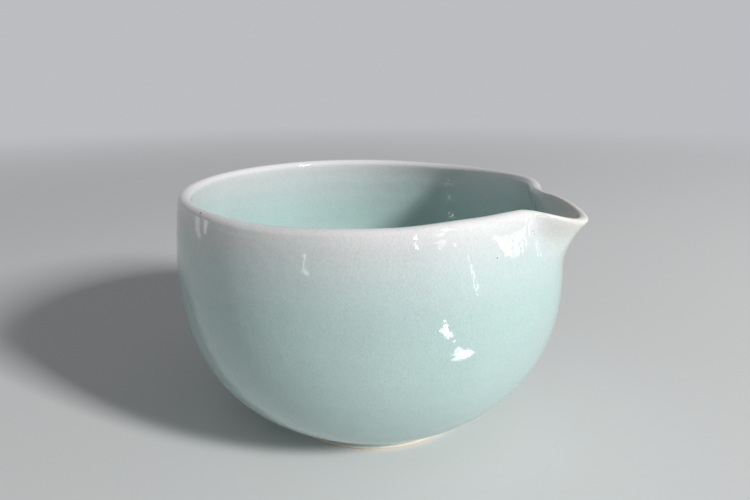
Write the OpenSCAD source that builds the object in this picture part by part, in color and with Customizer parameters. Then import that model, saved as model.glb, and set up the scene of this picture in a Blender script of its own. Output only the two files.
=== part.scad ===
// Spouted rice bowl: a thrown stoneware wall with a spout pulled from its rim,
// a trimmed foot ring, and celadon glaze inside, outside and under the base.
// Z is up, the foot stands on Z = 0, and the spout points along +X.
// Every coat and wall is a section turned about Z, then drawn out at the spout,
// so neighbouring pieces share their faces exactly.

/* [Bowl] */
// Height of the rim above the table
bowl_h = 93.5; // [80:0.5:130]
// Largest outer radius, at the belly
belly_r = 75; // [60:0.5:110]
// Height of the belly above the table
belly_z = 64; // [45:0.5:66]
// Fullness of the curve below the belly, where 2 is an ellipse
fullness = 2.4; // [2:0.1:3.2]
// How far the wall leans in from the belly to the rim
rim_tuck = 2.5; // [0:0.1:6]
// Thickness of the wall with its glaze
wall = 4.5; // [3.6:0.1:8]
// Thickness of the floor above the foot with its glaze
floor_t = 5.5; // [4:0.1:10]

/* [Foot] */
// Outer radius of the glazed foot
foot_r = 40; // [28:0.5:50]
// Height of the foot ring, which is the depth of the recess inside it
foot_h = 4; // [2.5:0.25:8]
// Width of the foot ring
foot_w = 6; // [4:0.25:12]
// Rounding of the foot ring's standing edges
foot_edge = 0.8; // [0.3:0.1:1.2]
// Bare clay between the table and the edge of the glaze
bare_h = 1.2; // [1:0.1:2.2]

/* [Spout] */
// How far the lip is pulled out
spout_reach = 10.4; // [4:0.1:18]
// How far the tip hangs below the rim
spout_drop = 4.3; // [0:0.1:8]
// Half of the spout's width where it leaves the rim
spout_half = 17.4; // [12:0.1:26]
// Depth of the spout below the rim
spout_depth = 22; // [14:0.5:30]
// How much thinner the wall is at the tip
spout_thin = 1.4; // [0:0.1:2]

/* [Pinch beside the spout] */
// How far the rim is drawn in on the right of the spout (-Y)
pinch_right = 4; // [0:0.1:8]
// How far the rim is drawn in on the left of the spout (+Y)
pinch_left = 7; // [0:0.1:8]
// Distance of the deepest pinch from the middle of the spout
pinch_y = 28.5; // [24:0.5:36]
// Half of the width over which the rim is drawn in
pinch_half = 28.5; // [24:0.5:34]
// Depth to which the pinch reaches below the rim
pinch_depth = 40; // [25:1:50]

/* [Glaze] */
// Thickness of every coat of glaze
glaze = 0.5; // [0.3:0.05:0.8]

/* [Hidden] */

COLUMNS = 60;      // columns round the bowl
CROWDING = 0.65;   // 0 spaces the columns evenly, towards 1 crowds them at the spout
LOW_ROWS = 8;      // rows below the belly
HIGH_ROWS = 9;     // rows from the belly to the lip
LIP_STEP = 30;     // degrees between the rows round the lip
SPOUT_RAMP = 1.2;  // 1 pulls the spout out in a straight slope, more in a hollow one
LIP_SQUARE = 2.5;  // bluntness of the spout's tip
LIP_SIDE = 1.7;    // steepness of the spout's sides
TIP_HANG = 1.9;    // how closely the hang keeps to the tip
PINCH_RAMP = 1.5;  // how the pinch grows towards the rim

lip_r = wall / 2;
lip_z = bowl_h - lip_r;
lip_mid = belly_r - rim_tuck * pow((lip_z - belly_z) / (bowl_h - belly_z), 2) - lip_r;
floor_z = foot_h + floor_t;
recess_r = foot_r - foot_w;
// The foot ring is a true circle that fits inside the flats of the coat round it.
ring_r = (foot_r - glaze) * cos(180 / COLUMNS * (1 + CROWDING));

// The outer curve passes the foot's top edge, and the inner one ends on the floor.
outer_deep = (belly_z - foot_h) / full_side(foot_r / belly_r);
inner_deep = belly_z - floor_z;

function full_side(x) = pow(1 - pow(x, fullness), 1 / fullness);
function clamp01(x) = min(max(x, 0), 1);
function hump(x) = abs(x) < 1 ? pow(cos(90 * x), 2) : 0;

// Radius of the wall at height z, at or above the belly, where its belly radius is wide
function high_r(z, wide) = wide - rim_tuck * pow((z - belly_z) / (bowl_h - belly_z), 2);

// Rows of [radius, height] on the outside, at a depth k below the surface of the glaze
function outer_low(k) =
    let (start = acos(full_side((foot_r - k) / (belly_r - k))))
    [for (i = [0 : LOW_ROWS]) let (t = start + (90 - start) * i / LOW_ROWS)
        [(belly_r - k) * full_side(cos(t)), belly_z - (outer_deep - k) * cos(t)]];
function outer_high(k) =
    [for (i = [1 : HIGH_ROWS]) let (z = belly_z + (lip_z - belly_z) * i / HIGH_ROWS)
        [high_r(z, belly_r - k), z]];
function lip(k, from, to) =
    [for (a = [from : LIP_STEP : to])
        [lip_mid + (lip_r - k) * cos(a), lip_z + (lip_r - k) * sin(a)]];
function outside(k) = concat(outer_low(k), outer_high(k), lip(k, LIP_STEP, 90));

// Rows on the inside from the top of the lip down to the floor, without the point on the axis
function inner_high(k) =
    [for (i = [0 : HIGH_ROWS - 1]) let (z = lip_z - (lip_z - belly_z) * i / HIGH_ROWS)
        [high_r(z, belly_r - wall + k), z]];
function inner_low(k) =
    [for (i = [LOW_ROWS : -1 : 1]) let (t = 90 * i / LOW_ROWS)
        [(belly_r - wall + k) * full_side(cos(t)), belly_z - (inner_deep + k) * cos(t)]];
function inside(k) =
    concat(lip(k, 90, 180 - LIP_STEP), inner_high(k), inner_low(k));
function middle(k) = [0, floor_z - k];

// A point of the turned wall at angle a, after the spout and the pinch have been drawn
function drawn(p, a) =
    let (
        x = p[0] * cos(a),
        y = p[0] * sin(a),
        z = p[1],
        ahead = x > 0 ? 1 : 0,
        rise = pow(clamp01(1 - (bowl_h - z) / spout_depth), SPOUT_RAMP),
        pull = ahead * pow(1 - pow(clamp01(abs(y) / spout_half), LIP_SQUARE), LIP_SIDE),
        inward = clamp01((high_r(max(z, belly_z), belly_r) - p[0]) / wall),
        reach = (spout_reach + spout_thin * inward) * pull * rise,
        hang = spout_drop * pow(pull, TIP_HANG) * pow(rise, 2),
        grip = ahead * hump((abs(y) - pinch_y) / pinch_half)
            * pow(clamp01(1 - (bowl_h - z) / pinch_depth), PINCH_RAMP),
        pinch = (y > 0 ? pinch_left : pinch_right) * grip
    )
    [x + reach - pinch * cos(a), y - pinch * sin(a), z - hang];

// Angle of column i
function column(i) =
    let (t = 360 * i / COLUMNS)
    t - CROWDING * sin(t) * 180 / PI;

// Twice the signed area of a section, which tells the way it runs
function turn(rows) =
    let (n = len(rows))
    [for (i = 0, s = 0; i <= n; s = s + (i < n ? cross(rows[i], rows[(i + 1) % n]) : 0), i = i + 1) s][n];

// Turns a closed section about Z. A section with poles starts and ends on the axis.
module thrown(rows, poles = []) {
    m = len(rows);
    last = len(poles) > 0 ? m - 1 : m;
    whole = len(poles) > 0 ? concat([poles[0]], rows, [poles[1]]) : rows;
    skin = [for (i = [0 : COLUMNS - 1], p = rows) drawn(p, column(i))];
    tips = [for (p = poles) [0, 0, p[1]]];
    low = COLUMNS * m;
    function at(i, j) = (i % COLUMNS) * m + j % m;
    sides = [for (i = [0 : COLUMNS - 1], j = [0 : last - 1])
        each [[at(i, j), at(i, j + 1), at(i + 1, j + 1)],
              [at(i, j), at(i + 1, j + 1), at(i + 1, j)]]];
    caps = len(poles) > 0
        ? [for (i = [0 : COLUMNS - 1])
            each [[low, at(i, 0), at(i + 1, 0)],
                  [low + 1, at(i + 1, m - 1), at(i, m - 1)]]]
        : [];
    faces = concat(sides, caps);
    runs_up = turn(whole) > 0;
    polyhedron(
        points = concat(skin, tips),
        faces = runs_up ? faces : [for (f = faces) [f[2], f[1], f[0]]],
        convexity = 6
    );
}

// Runs a list backwards
function back(list) = [for (i = [len(list) - 1 : -1 : 0]) list[i]];

module clay_body() {
    color("antiquewhite")
        thrown(
            concat([[foot_r - glaze, foot_h]], outside(glaze), inside(glaze)),
            poles = [[0, foot_h], middle(glaze)]
        );
}

module foot_ring() {
    color("mistyrose")
        rotate_extrude($fn = 120) {
            translate([recess_r, foot_edge])
                square([ring_r - recess_r, foot_h - foot_edge]);
            translate([recess_r + foot_edge, 0])
                square([ring_r - recess_r - 2 * foot_edge, foot_edge]);
            for (r = [recess_r + foot_edge, ring_r - foot_edge])
                translate([r, foot_edge])
                    circle(r = foot_edge, $fn = 48);
        }
}

module outer_glaze() {
    color("lightblue")
        thrown(concat(
            [[foot_r - glaze, bare_h]], outside(glaze),
            back(outside(0)), [[foot_r, bare_h]]
        ));
}

module inner_glaze() {
    color("powderblue")
        thrown(
            concat(back(inside(0)), inside(glaze)),
            poles = [middle(0), middle(glaze)]
        );
}

module base_glaze() {
    color("lightsteelblue")
        translate([0, 0, foot_h - glaze])
            cylinder(h = glaze, r = recess_r, $fn = 120);
}

clay_body();
foot_ring();
outer_glaze();
inner_glaze();
base_glaze();
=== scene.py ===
import math

import bmesh
import bpy
from mathutils import Matrix, Vector, noise


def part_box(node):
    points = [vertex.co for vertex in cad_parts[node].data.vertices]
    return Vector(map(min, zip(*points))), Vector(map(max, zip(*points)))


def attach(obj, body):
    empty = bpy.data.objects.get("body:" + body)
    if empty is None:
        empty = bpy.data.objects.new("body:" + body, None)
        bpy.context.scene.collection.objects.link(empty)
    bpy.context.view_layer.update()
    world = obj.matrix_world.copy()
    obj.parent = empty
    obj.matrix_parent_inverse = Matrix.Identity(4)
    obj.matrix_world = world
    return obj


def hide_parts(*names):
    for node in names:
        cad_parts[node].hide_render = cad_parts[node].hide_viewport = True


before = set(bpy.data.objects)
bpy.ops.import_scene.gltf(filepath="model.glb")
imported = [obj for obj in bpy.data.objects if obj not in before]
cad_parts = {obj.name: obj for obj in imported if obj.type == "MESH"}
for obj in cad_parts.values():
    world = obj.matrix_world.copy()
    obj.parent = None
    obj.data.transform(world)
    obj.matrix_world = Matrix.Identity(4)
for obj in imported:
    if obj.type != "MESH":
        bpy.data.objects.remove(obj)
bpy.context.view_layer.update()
scene = bpy.context.scene
mm = 0.001

print("stage: camera")

camera = {
    "place": (113.0, -197.7, 134.4),  # mm from the middle of the foot
    "turn": 29.4,  # degrees to the left of +Y
    "tip": 16.7,  # degrees below the horizon
    "roll": -0.3,
    "lens": 28.0,
    "sensor": 36.0,
    "nearest": 0.01,  # m, anything closer is cut away
}


def makeCamera():
    data = bpy.data.cameras.new("camera")
    data.lens = camera["lens"]
    data.sensor_width = camera["sensor"]
    data.clip_start = camera["nearest"]
    eye = bpy.data.objects.new("camera", data)
    turn = Matrix.Rotation(math.radians(camera["turn"]), 4, "Z")
    tip = Matrix.Rotation(math.radians(90 - camera["tip"]), 4, "X")
    roll = Matrix.Rotation(math.radians(camera["roll"]), 4, "Z")
    eye.matrix_world = Matrix.Translation(Vector(camera["place"]) * mm) @ turn @ tip @ roll
    scene.collection.objects.link(eye)
    scene.camera = eye


makeCamera()

print("stage: the bowl's shape")

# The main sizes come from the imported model, in mm, and the rest say how the curve runs between them.
outerLow, outerHigh = (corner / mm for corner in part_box("outer_glaze"))
innerLow, innerHigh = (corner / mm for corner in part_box("inner_glaze"))
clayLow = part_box("clay_body")[0] / mm
baseLow, baseHigh = (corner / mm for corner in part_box("base_glaze"))
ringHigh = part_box("foot_ring")[1] / mm

glaze = baseHigh.z - baseLow.z
recess = baseHigh.x
footHeight = clayLow.z
bowl = {
    "height": outerHigh.z,
    "belly": -outerLow.x,  # radius at the widest
    "bellyHeight": 64.0,
    "fullness": 2.4,  # 2 is an ellipse, more is squarer
    "rimTuck": 2.5,  # how far the wall leans in above the belly
    "wall": 4.5,
    "floor": innerLow.z + glaze,  # height of the floor inside
    "foot": recess + 6.0,  # radius of the glazed foot, the ring's width past the recess
    "bare": outerLow.z,  # bare clay below the glaze
}
spout = {
    "reach": 9.5,
    "drop": 4.3,
    "half": 17.4,  # half of its width
    "depth": 24.0,
    "thin": 0.9,  # how much thinner its lip is
    "lip": 2.6,  # height of the lip that is drawn out whole
    "ramp": 1.6,
    "dropRamp": 2.4,
    "blunt": 2.5,
    "side": 1.7,
    "hang": 1.9,
}
pinch = {
    "right": 4.0,  # how far the rim is drawn in on -Y
    "left": 7.0,  # and on +Y
    "middle": 28.5,
    "half": 28.5,
    "depth": 40.0,
    "ramp": 1.5,
}
# Traces of the hand
hand = {
    "seed": 4.7,
    "wobble": 0.22,  # slow unevenness, mm
    "wobbleSize": 26.0,
    "rings": 0.03,  # throwing rings, mm
    "ringStep": 8.5,
    "ringTwist": 0.4,  # how they climb as they go round
    "footFade": 10.0,  # height over which the traces start, so that the foot stays true
    "rimFade": 32.0,  # depth over which the rim's dips die out
    # Dips of the rim: degrees round from the spout, half of the width in degrees, mm down
    "dips": [(68, 85, 1.5), (-8.5, 8.5, 1.1), (-41, 16, -0.6), (-86, 22, 0.6)],
    # Dents of the wall: degrees round, half width, height, half height, mm in
    "dents": [(-155, 55, 38, 20, 1.0), (-155, 55, 64, 13, -0.6), (-10, 7, 85, 9, 1.4)],
}
mesh = {
    "columns": 240,
    "crowding": 0.65,  # crowds the columns at the spout
    "weld": 0.001,  # points closer than this are one, mm
    "lowRows": 44,
    "highRows": 26,
    "lipRows": 18,
    "edgeRows": 8,
    "hiddenShare": 0.4,  # share of the rows on hidden faces
}

lipRadius = bowl["wall"] / 2
lipHeight = bowl["height"] - lipRadius


def clamp(value):
    return min(max(value, 0.0), 1.0)


def side(x):
    return (1 - x ** bowl["fullness"]) ** (1 / bowl["fullness"])


def hump(x):
    return math.cos(math.pi / 2 * x) ** 2 if abs(x) < 1 else 0.0


def upperRadius(z, widest):
    lean = (z - bowl["bellyHeight"]) / (bowl["height"] - bowl["bellyHeight"])
    return widest - bowl["rimTuck"] * lean ** 2


lipMiddle = upperRadius(lipHeight, bowl["belly"]) - lipRadius
outerDepth = (bowl["bellyHeight"] - footHeight) / side(bowl["foot"] / bowl["belly"])
innerDepth = bowl["bellyHeight"] - bowl["floor"]


def spread(start, stop, count):
    return [start + (stop - start) * i / count for i in range(count + 1)]


# Each function gives (radius, height) rows at a depth below the surface of the glaze.
def outsideRows(depth, share=1.0):
    wide = bowl["belly"] - depth
    start = math.acos(side((bowl["foot"] - depth) / wide))
    rows = []
    for t in spread(start, math.pi / 2, int(mesh["lowRows"] * share)):
        rows.append((wide * side(math.cos(t)), bowl["bellyHeight"] - (outerDepth - depth) * math.cos(t)))
    for z in spread(bowl["bellyHeight"], lipHeight, int(mesh["highRows"] * share))[1:]:
        rows.append((upperRadius(z, wide), z))
    return rows


def lipRows(depth, share=1.0):
    rows = []
    for t in spread(0, math.pi, int(mesh["lipRows"] * share))[1:-1]:
        reach = lipRadius - depth
        rows.append((lipMiddle + reach * math.cos(t), lipHeight + reach * math.sin(t)))
    return rows


def insideRows(depth, share=1.0):
    wide = bowl["belly"] - bowl["wall"] + depth
    rows = []
    for z in spread(lipHeight, bowl["bellyHeight"], int(mesh["highRows"] * share))[:-1]:
        rows.append((upperRadius(z, wide), z))
    for t in spread(math.pi / 2, 0, int(mesh["lowRows"] * share)):
        rows.append((wide * side(math.cos(t)), bowl["bellyHeight"] - (innerDepth + depth) * math.cos(t)))
    return rows


def upAndOver(depth, share=1.0):
    return outsideRows(depth, share) + lipRows(depth, share) + insideRows(depth, share)


def spoutPull(x, y):
    # 1 along the middle of the spout, 0 beside it
    if x <= 0:
        return 0.0
    return (1 - clamp(abs(y) / spout["half"]) ** spout["blunt"]) ** spout["side"]


def wallDepth(radius, z):
    # 0 on the outside of the wall, 1 on its inside
    surface = upperRadius(max(z, bowl["bellyHeight"]), bowl["belly"])
    return clamp((surface - radius) / bowl["wall"])


def drawOut(radius, angle, z):
    # Where a point of the turned wall ends up once the spout is pulled and the rim is pinched
    x = radius * math.cos(angle)
    y = radius * math.sin(angle)
    below = bowl["height"] - z
    rise = clamp(1 - max(below - spout["lip"], 0) / (spout["depth"] - spout["lip"])) ** spout["ramp"]
    pull = spoutPull(x, y)
    reach = (spout["reach"] + spout["thin"] * wallDepth(radius, z)) * pull * rise
    drop = spout["drop"] * pull ** spout["hang"] * clamp(1 - below / spout["depth"]) ** spout["dropRamp"]
    grip = 0.0
    if x > 0:
        near = hump((abs(y) - pinch["middle"]) / pinch["half"])
        grip = near * clamp(1 - below / pinch["depth"]) ** pinch["ramp"]
    grip *= pinch["left"] if y > 0 else pinch["right"]
    return x + reach - grip * math.cos(angle), y - grip * math.sin(angle), z - drop


def between(a, b):
    # The turn from b to a, from -180 to 180 degrees
    return (a - b + 180) % 360 - 180


def handMade(x, y, z):
    out = Vector((x, y, 0)).normalized()
    turn = math.atan2(y, x)
    degrees = math.degrees(turn)
    where = Vector((x, y, z)) / hand["wobbleSize"] + Vector((0, 0, hand["seed"]))
    shift = hand["wobble"] * noise.noise(where)
    shift += hand["rings"] * math.sin(2 * math.pi * z / hand["ringStep"] + hand["ringTwist"] * turn)
    for middle, half, height, halfHeight, depth in hand["dents"]:
        shift -= depth * hump(between(degrees, middle) / half) * hump((z - height) / halfHeight)
    shift *= clamp((z - footHeight) / hand["footFade"])
    fade = clamp(1 - (bowl["height"] - z) / hand["rimFade"]) ** 2
    dip = sum(depth * hump(between(degrees, middle) / half) for middle, half, depth in hand["dips"])
    return x + out.x * shift, y + out.y * shift, z - dip * fade


def turnSection(rows, loop=False):
    # Spins a section, which starts and ends on the axis or is a loop beside it, and returns the closed bmesh
    # in mm.
    bm = bmesh.new()
    points = [bm.verts.new((radius, 0, z)) for radius, z in rows]
    following = points[1:] + points[:1] if loop else points[1:]
    for ends in zip(points, following):
        bm.edges.new(ends)
    bmesh.ops.spin(
        bm, geom=bm.verts[:] + bm.edges[:], cent=(0, 0, 0), axis=(0, 0, 1), dvec=(0, 0, 0),
        angle=2 * math.pi, steps=mesh["columns"], use_merge=True, use_duplicate=False,
    )
    bmesh.ops.remove_doubles(bm, verts=bm.verts[:], dist=mesh["weld"])
    return bm


def finishPiece(bm, name, material, *nodes):
    bmesh.ops.scale(bm, vec=(mm, mm, mm), verts=bm.verts[:])
    bmesh.ops.recalc_face_normals(bm, faces=bm.faces[:])
    data = bpy.data.meshes.new(name)
    bm.to_mesh(data)
    bm.free()
    for face in data.polygons:
        face.use_smooth = True
    piece = bpy.data.objects.new(name, data)
    scene.collection.objects.link(piece)
    data.materials.append(material)
    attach(piece, "root")
    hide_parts(*nodes)
    return piece


print("stage: shared effects")


def newGroup(name, inputs, outputs):
    group = bpy.data.node_groups.new(name, "ShaderNodeTree")
    for label, kind, value in inputs:
        socket = group.interface.new_socket(name=label, in_out="INPUT", socket_type="NodeSocket" + kind)
        if value is not None:
            socket.default_value = value
    for label, kind in outputs:
        group.interface.new_socket(name=label, in_out="OUTPUT", socket_type="NodeSocket" + kind)
    return group


def addNode(tree, kind, **settings):
    node = tree.nodes.new("ShaderNode" + kind)
    for key, value in settings.items():
        setattr(node, key, value)
    return node


def plug(tree, source, target):
    if hasattr(source, "is_linked"):
        tree.links.new(source, target)
    else:
        target.default_value = source


def calculate(tree, operation, a, b=0.0):
    node = addNode(tree, "Math", operation=operation)
    plug(tree, a, node.inputs[0])
    plug(tree, b, node.inputs[1])
    return node.outputs[0]


def remap(tree, value, low, high, smooth=False):
    # 0 at low and 1 at high
    node = addNode(tree, "MapRange", interpolation_type="SMOOTHSTEP" if smooth else "LINEAR")
    for socket, amount in zip(node.inputs[:3], (value, low, high)):
        plug(tree, amount, socket)
    return node.outputs[0]


def blendColours(tree, factor, a, b, kind="MIX"):
    node = addNode(tree, "Mix", data_type="RGBA", blend_type=kind)
    plug(tree, factor, node.inputs[0])
    plug(tree, a, node.inputs[6])
    plug(tree, b, node.inputs[7])
    return node.outputs[2]


def noiseOf(tree, where, scale):
    node = addNode(tree, "TexNoise")
    tree.links.new(where, node.inputs["Vector"])
    node.inputs["Scale"].default_value = scale
    return node.outputs[0]


def makeGrainGroup():
    # Fine grain: a slow cloud and fine points, as values round 0
    group = newGroup(
        "fineGrain",
        [("Where", "Vector", None), ("Cloud Size", "Float", 0.02), ("Point Size", "Float", 0.0006)],
        [("Cloud", "Float"), ("Points", "Float")],
    )
    into = group.nodes.new("NodeGroupInput")
    out = group.nodes.new("NodeGroupOutput")
    for name, size, detail in [("Cloud", "Cloud Size", 3.0), ("Points", "Point Size", 1.0)]:
        texture = addNode(group, "TexNoise")
        texture.inputs["Detail"].default_value = detail
        group.links.new(into.outputs["Where"], texture.inputs["Vector"])
        group.links.new(calculate(group, "DIVIDE", 1.0, into.outputs[size]), texture.inputs["Scale"])
        centred = calculate(group, "SUBTRACT", texture.outputs[0], 0.5)
        group.links.new(centred, out.inputs[name])
    return group


def makeRingsGroup():
    # Fine lines round the axis, left by turning, on flat and on upright faces
    group = newGroup(
        "turningLines",
        [("Where", "Vector", None), ("Step", "Float", 0.001), ("Waver", "Float", 0.3)],
        [("Height", "Float")],
    )
    waverScale = 90.0  # wavers in a metre
    into = group.nodes.new("NodeGroupInput")
    out = group.nodes.new("NodeGroupOutput")
    apart = addNode(group, "SeparateXYZ")
    group.links.new(into.outputs["Where"], apart.inputs[0])
    radius = calculate(
        group, "SQRT",
        calculate(
            group, "ADD",
            calculate(group, "POWER", apart.outputs[0], 2.0),
            calculate(group, "POWER", apart.outputs[1], 2.0),
        ),
    )
    across = calculate(group, "ADD", radius, apart.outputs[2])
    slow = noiseOf(group, into.outputs["Where"], waverScale)
    waver = calculate(group, "MULTIPLY", slow, into.outputs["Waver"])
    turns = calculate(group, "ADD", calculate(group, "DIVIDE", across, into.outputs["Step"]), waver)
    line = addNode(group, "TexNoise", noise_dimensions="1D")
    line.inputs["Detail"].default_value = 1.0
    line.inputs["Scale"].default_value = 1.0
    group.links.new(turns, line.inputs["W"])
    group.links.new(line.outputs[0], out.inputs["Height"])
    return group


grainGroup = makeGrainGroup()
ringsGroup = makeRingsGroup()


def placeGroup(tree, group, where, **values):
    node = addNode(tree, "Group", node_tree=group)
    tree.links.new(where, node.inputs["Where"])
    for name, value in values.items():
        node.inputs[name.replace("_", " ")].default_value = value
    return node


def giveRelief(tree, shader, height, how):
    bump = addNode(tree, "Bump")
    bump.inputs["Strength"].default_value = how["strength"]
    bump.inputs["Distance"].default_value = how["depth"]
    tree.links.new(height, bump.inputs["Height"])
    tree.links.new(bump.outputs[0], shader.inputs["Normal"])


def newMaterial(name):
    material = bpy.data.materials.new(name)
    material.use_nodes = True
    return material, material.node_tree, material.node_tree.nodes["Principled BSDF"]


print("stage: the celadon glaze")

celadon = {
    "thin": (0.76, 0.745, 0.735, 1),  # white clay showing through at the rim
    "bloom": (0.64, 0.665, 0.655, 1),  # milky, slightly pink
    "pale": (0.535, 0.635, 0.622, 1),
    "full": (0.460, 0.604, 0.577, 1),
    "pooled": (0.330, 0.480, 0.450, 1),
    "iron": (0.055, 0.035, 0.022, 1),
    "band": 28.0,  # mm below the lip to the full colour
    "bloomAt": 0.19,  # share of the band
    "paleAt": 0.52,
    "bandDrift": 5.0,  # mm that the band wanders
    "spoutStretch": 0.55,  # how much longer the band is on the spout
    "warmClayAndReflection": (0.74, 0.70, 0.62, 1),  # the spout's thin glaze over the clay, plus a painted warm reflection
    "warmClayAndReflectionShare": 0.5,
    "poolDepth": 0.55,  # how much it deepens where it pools, on the floor and low on the outside
    "poolHeight": 10.0,  # mm above the floor where that ends
    "cloud": 0.10,
    "cloudSize": 0.022,  # m
    "points": 0.30,
    "pointSize": 0.00038,
    "run": 0.5,  # under 1 draws the points out downwards
    "roughness": 0.06,
    "roughDrift": 0.05,
    "refraction": 1.5,
}
# The skin of the glaze: slow waves that bend the glints, and a fine peel
skin = {
    "waves": 4.0,  # their height beside the peel's
    "waveScale": 170.0,
    "peelScale": 420.0,
    "strength": 0.5,
    "depth": 0.00006,  # m
}
# Specks of iron: degrees round from the spout, mm below the rim and radius in mm
specks = [(-108.7, 0.5, 0.5), (-28.8, 11.7, 0.28), (-13.9, 6.6, 0.32), (-13.2, 7.7, 0.22)]
speckCore = 0.4  # share of a speck's radius that is fully iron


def onOutside(degrees, below):
    # A point on the outside of the finished bowl, in mm
    z = bowl["height"] - below
    radius = upperRadius(z, bowl["belly"])
    if z > lipHeight:
        radius = lipMiddle + math.sqrt(lipRadius ** 2 - (z - lipHeight) ** 2)
    return Vector(handMade(*drawOut(radius, math.radians(degrees), z)))


def makeGlaze():
    material, tree, shader = newMaterial("celadonGlaze")
    where = addNode(tree, "TexCoord").outputs["Object"]
    belowLip = addNode(tree, "Attribute", attribute_name="belowLip").outputs["Fac"]
    pulled = addNode(tree, "Attribute", attribute_name="spoutPull").outputs["Fac"]
    pool = addNode(tree, "Attribute", attribute_name="pool").outputs["Fac"]
    running = addNode(tree, "Mapping")
    running.inputs["Scale"].default_value = (1, 1, celadon["run"])
    tree.links.new(where, running.inputs["Vector"])
    cloudSize, pointSize = celadon["cloudSize"], celadon["pointSize"]
    grain = placeGroup(tree, grainGroup, running.outputs[0], Cloud_Size=cloudSize, Point_Size=pointSize)
    # How much glaze covers the clay: 0 at the lip, 1 from the band's end down
    drift = calculate(tree, "MULTIPLY", grain.outputs["Cloud"], celadon["bandDrift"] * mm)
    shrink = calculate(tree, "MULTIPLY", pulled, celadon["spoutStretch"])
    stretch = calculate(tree, "SUBTRACT", 1.0, shrink)
    along = calculate(tree, "MULTIPLY", calculate(tree, "ADD", belowLip, drift), stretch)
    cover = remap(tree, along, 0.0, celadon["band"] * mm)
    ramp = addNode(tree, "ValToRGB")
    stops = ramp.color_ramp.elements
    stops[0].color = celadon["thin"]
    stops[1].color = celadon["full"]
    for name in ("bloom", "pale"):
        stops.new(celadon[name + "At"]).color = celadon[name]
    tree.links.new(cover, ramp.inputs[0])
    # The spout is warmer: partly its thin glaze over the clay, partly a painted warm reflection
    warmClayAndReflectionShare = calculate(tree, "MULTIPLY", pulled, celadon["warmClayAndReflectionShare"])
    colour = blendColours(tree, warmClayAndReflectionShare, ramp.outputs[0], celadon["warmClayAndReflection"])
    colour = blendColours(tree, pool, colour, celadon["pooled"])
    # Clouds and points lighten and darken it a little
    clouds = calculate(tree, "MULTIPLY_ADD", grain.outputs["Cloud"], celadon["cloud"])
    clouds.node.inputs[2].default_value = 1.0
    points = calculate(tree, "MULTIPLY", grain.outputs["Points"], celadon["points"])
    level = calculate(tree, "ADD", clouds, points)
    colour = blendColours(tree, 1.0, colour, level, "MULTIPLY")
    for degrees, below, radius in specks:
        gap = addNode(tree, "VectorMath", operation="DISTANCE")
        tree.links.new(where, gap.inputs[0])
        gap.inputs[1].default_value = onOutside(degrees, below) * mm
        dot = remap(tree, gap.outputs["Value"], radius * mm, radius * speckCore * mm, smooth=True)
        colour = blendColours(tree, dot, colour, celadon["iron"])
    tree.links.new(colour, shader.inputs["Base Color"])
    rough = calculate(tree, "MULTIPLY", grain.outputs["Cloud"], celadon["roughDrift"])
    tree.links.new(calculate(tree, "ADD", rough, celadon["roughness"]), shader.inputs["Roughness"])
    shader.inputs["IOR"].default_value = celadon["refraction"]
    waves = calculate(tree, "MULTIPLY", noiseOf(tree, where, skin["waveScale"]), skin["waves"])
    peel = noiseOf(tree, where, skin["peelScale"])
    giveRelief(tree, shader, calculate(tree, "ADD", waves, peel), skin)
    return material


print("stage: the bare clay")

clay = {
    "colour": (0.82, 0.68, 0.53, 1),
    "dark": (0.76, 0.62, 0.47, 1),
    "darkest": 0.1,  # level of grain and lines at which it is all dark
    "lightest": 1.0,
    "cloudSize": 0.012,  # m
    "pointSize": 0.0005,
    "lineStep": 0.0011,  # m between turning lines
    "waver": 0.4,
    "roughness": 0.75,
    "strength": 0.35,  # of its relief
    "depth": 0.0001,  # m
}


def makeClay():
    material, tree, shader = newMaterial("bareClay")
    where = addNode(tree, "TexCoord").outputs["Object"]
    grain = placeGroup(tree, grainGroup, where, Cloud_Size=clay["cloudSize"], Point_Size=clay["pointSize"])
    lines = placeGroup(tree, ringsGroup, where, Step=clay["lineStep"], Waver=clay["waver"])
    tint = calculate(tree, "ADD", grain.outputs["Cloud"], grain.outputs["Points"])
    level = calculate(tree, "ADD", tint, lines.outputs[0])
    shade = remap(tree, level, clay["darkest"], clay["lightest"])
    colour = blendColours(tree, shade, clay["dark"], clay["colour"])
    tree.links.new(colour, shader.inputs["Base Color"])
    shader.inputs["Roughness"].default_value = clay["roughness"]
    giveRelief(tree, shader, calculate(tree, "ADD", lines.outputs[0], grain.outputs["Points"]), clay)
    return material


celadonMaterial = makeGlaze()
clayMaterial = makeClay()


def glazeLayers(bm):
    # What the glaze needs to know at each point: depth below the lip in m, pull of the spout, and pooling
    return [bm.verts.layers.float.new(name) for name in ("belowLip", "spoutPull", "pool")]


def shapeWall(bm):
    # Crowds the columns, draws the spout and adds the traces of the hand.
    belowLip, pulled, pool = glazeLayers(bm)
    for v in bm.verts:
        radius = math.hypot(v.co.x, v.co.y)
        t = math.atan2(v.co.y, v.co.x)
        angle = t - mesh["crowding"] * math.sin(t)
        z = v.co.z
        below = bowl["height"] - z
        x, y = radius * math.cos(angle), radius * math.sin(angle)
        v[belowLip] = below * mm
        v[pulled] = spoutPull(x, y) * clamp(1 - below / spout["depth"])
        v[pool] = celadon["poolDepth"] * clamp(1 - (z - bowl["floor"]) / celadon["poolHeight"])
        v.co = handMade(*drawOut(radius, angle, z))


def makeGlazeCoat():
    roll = glaze / 2  # the coat ends in a round edge at the foot
    edge = []
    for t in spread(0, math.pi, mesh["edgeRows"]):
        edge.append((bowl["foot"] - roll + roll * math.cos(t), bowl["bare"] + roll - roll * math.sin(t)))
    face = upAndOver(0.0)
    back = upAndOver(glaze, mesh["hiddenShare"])
    bm = turnSection(face[::-1] + edge + back)
    shapeWall(bm)
    coat = finishPiece(bm, "glazeCoat", celadonMaterial, "outer_glaze", "inner_glaze")


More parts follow.
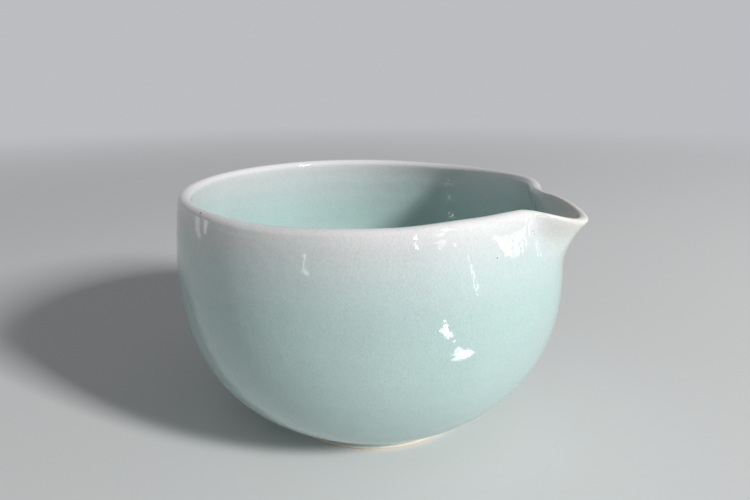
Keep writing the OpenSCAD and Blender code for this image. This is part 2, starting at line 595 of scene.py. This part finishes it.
def makeClayBody():
    gap = 0.02  # keeps the clay just inside its coat
    rows = [(0, footHeight), (bowl["foot"] - glaze - gap, footHeight)]
    bm = turnSection(rows + upAndOver(glaze + gap, mesh["hiddenShare"]))
    shapeWall(bm)
    body = finishPiece(bm, "clayBody", clayMaterial, "clay_body")


ring = {
    "edge": 0.5,  # rounding of the standing edges, mm
    "edgeSteps": 6,
    "step": 0.06,  # how far the bare clay stands back from the glaze above it
    "gap": 0.05,  # between the bare clay and the edge of the glaze
}


def makeFootRing():
    outer = ringHigh.x
    bare = bowl["foot"] - ring["step"]
    brim = bowl["bare"] - ring["gap"]
    corners = [(recess, 0), (bare, 0), (bare, brim), (outer, brim)]
    corners += [(outer, footHeight), (recess, footHeight)]
    bm = turnSection(corners, loop=True)
    standing = []
    for edge in bm.edges:
        a, b = (v.co for v in edge.verts)
        goesRound = abs(a.xy.length - b.xy.length) < mesh["weld"]
        if goesRound and max(a.z, b.z) < mesh["weld"]:
            standing.append(edge)
    bmesh.ops.bevel(
        bm, geom=standing, offset=ring["edge"], offset_type="OFFSET", segments=ring["edgeSteps"],
        profile=0.5, affect="EDGES", material=-1,
    )
    made = finishPiece(bm, "footRing", clayMaterial, "foot_ring")


baseCoat = {
    "gap": 0.02,  # keeps it just inside the ring, mm
    "runDown": 0.5,  # how far it runs down the ring's wall
    "corner": 1.6,  # width of its curve in the corner
    "cornerSteps": 10,
}


def makeBaseGlaze():
    edge = recess - baseCoat["gap"]
    low = baseLow.z - baseCoat["runDown"]
    climb = baseCoat["runDown"] - baseCoat["gap"]
    rows = [(0, baseHigh.z), (edge, baseHigh.z)]
    for t in spread(0, math.pi / 2, baseCoat["cornerSteps"]):
        rows.append((edge - baseCoat["corner"] * math.sin(t), low + climb * (1 - math.cos(t))))
    rows.append((0, baseLow.z))
    bm = turnSection(rows)
    belowLip = glazeLayers(bm)[0]
    for v in bm.verts:
        v[belowLip] = celadon["band"] * mm  # the full colour all over
    base = finishPiece(bm, "baseGlaze", celadonMaterial, "base_glaze")


print("stage: the pieces")
makeGlazeCoat()
makeClayBody()
makeFootRing()
makeBaseGlaze()

print("stage: the floor and the lights")

studio = {
    "floor": (0.74, 0.74, 0.73, 1),
    "backdrop": (0.50, 0.51, 0.53, 1),
    "fadeFrom": 0.30,  # m from the bowl at which the floor starts to fade into the backdrop
    "fadeTo": 1.50,
    "floorSize": 6.0,
    "floorRoughness": 0.9,
    "sky": (0.93, 0.95, 1.0, 1),
    "skyLevel": 0.22,
}
# Each light: name, degrees round from the front to the right, degrees up, distance, width and height in m,
# watts and colour
lights = [
    ("key", 54, 27, 2.5, 0.30, 0.45, 63.0, (0.99, 0.995, 1.0)),
    ("fill", -60, 25, 2.5, 1.6, 1.2, 1.5, (0.92, 0.96, 1.0)),
]
# Window panes that show only as glints in the glaze: degrees round, degrees up, distance, width and height
# in mm, tilt in degrees and glow
panes = [
    (31.5, -9.6, 158, 8, 16, 35, 16.0),
    (35.8, -14.6, 145, 9, 12, 55, 9.0),
    (38.2, -17.6, 145, 24, 11, 45, 9.0),
    (21.5, 5.2, 600, 20, 38, -18, 12.0),
    (40.0, 6.2, 600, 100, 18, 0, 4.5),
    (41.0, 4.2, 600, 46, 7, 0, 6.0),
    (53.0, 4.6, 600, 12, 30, -10, 9.0),
    (58.0, -0.6, 356, 6, 60, 0, 8.0),
    (82.0, 6.0, 600, 22, 60, 0, 4.5),
    (93.0, 5.0, 600, 30, 56, 0, 6.0),
    (-33.5, -2.0, 600, 9, 26, 0, 9.0),
    (-98.0, 0.5, 600, 40, 70, 0, 1.3),
    (-106.0, -1.0, 600, 60, 150, 0, 0.8),
]


def aroundBowl(turn, rise, distance):
    # The turn counts from where the camera stands.
    a = math.radians(turn + camera["turn"])
    e = math.radians(rise)
    return Vector((math.sin(a) * math.cos(e), -math.cos(a) * math.cos(e), math.sin(e))) * distance


def hangLamp(name, width, height, power, place, tilt=0):
    # An area lamp that faces the middle of the bowl, and whose place in m counts from there
    data = bpy.data.lights.new(name, "AREA")
    data.shape = "RECTANGLE"
    data.size = width
    data.size_y = height
    data.energy = power
    lamp = bpy.data.objects.new(name, data)
    lamp.location = Vector((0, 0, bowl["height"] / 2 * mm)) + place
    facing = (-place).to_track_quat("-Z", "Y").to_matrix()
    lamp.rotation_euler = (facing @ Matrix.Rotation(math.radians(tilt), 3, "Z")).to_euler()
    scene.collection.objects.link(lamp)
    return lamp


def makeLights():
    for name, turn, rise, distance, width, height, power, colour in lights:
        lamp = hangLamp(name, width, height, power, aroundBowl(turn, rise, distance))
        lamp.data.color = colour


def makePanes():
    for turn, rise, distance, width, height, tilt, glow in panes:
        power = glow * math.pi * width * height * mm * mm  # so that a larger pane is no paler
        place = aroundBowl(turn, rise, distance * mm)
        lamp = hangLamp("pane", width * mm, height * mm, power, place, tilt)
        lamp.visible_camera = False
        lamp.visible_diffuse = False


def seenDirectly(tree):
    # 1 for what the eye sees, straight or in a reflection
    ray = addNode(tree, "LightPath")
    return calculate(tree, "MAXIMUM", ray.outputs["Is Camera Ray"], ray.outputs["Is Glossy Ray"])


def makeFloor():
    bm = bmesh.new()
    bmesh.ops.create_circle(bm, cap_ends=True, radius=studio["floorSize"], segments=96)
    data = bpy.data.meshes.new("floor")
    bm.to_mesh(data)
    bm.free()
    floor = bpy.data.objects.new("floor", data)
    scene.collection.objects.link(floor)
    material, tree, shader = newMaterial("paleFloor")
    shader.inputs["Base Color"].default_value = studio["floor"]
    shader.inputs["Roughness"].default_value = studio["floorRoughness"]
    shader.inputs["Specular IOR Level"].default_value = 0.0
    # Far from the bowl the eye sees the backdrop's colour, so no horizon shows.
    away = addNode(tree, "VectorMath", operation="LENGTH")
    tree.links.new(addNode(tree, "TexCoord").outputs["Object"], away.inputs[0])
    fade = remap(tree, away.outputs["Value"], studio["fadeFrom"], studio["fadeTo"], smooth=True)
    far = addNode(tree, "Emission")
    far.inputs["Color"].default_value = studio["backdrop"]
    blend = addNode(tree, "MixShader")
    tree.links.new(calculate(tree, "MULTIPLY", fade, seenDirectly(tree)), blend.inputs[0])
    tree.links.new(shader.outputs[0], blend.inputs[1])
    tree.links.new(far.outputs[0], blend.inputs[2])
    tree.links.new(blend.outputs[0], tree.nodes["Material Output"].inputs[0])
    data.materials.append(material)


def makeSky():
    world = bpy.data.worlds.new("sky")
    scene.world = world
    world.use_nodes = True
    tree = world.node_tree
    sky = tree.nodes["Background"]
    sky.inputs["Color"].default_value = studio["sky"]
    sky.inputs["Strength"].default_value = studio["skyLevel"]
    seen = addNode(tree, "Background")
    seen.inputs["Color"].default_value = studio["backdrop"]
    either = addNode(tree, "MixShader")
    tree.links.new(seenDirectly(tree), either.inputs[0])
    tree.links.new(sky.outputs[0], either.inputs[1])
    tree.links.new(seen.outputs[0], either.inputs[2])
    tree.links.new(either.outputs[0], tree.nodes["World Output"].inputs[0])


makeLights()
makePanes()
makeFloor()
makeSky()
scene.view_settings.view_transform = "Standard"
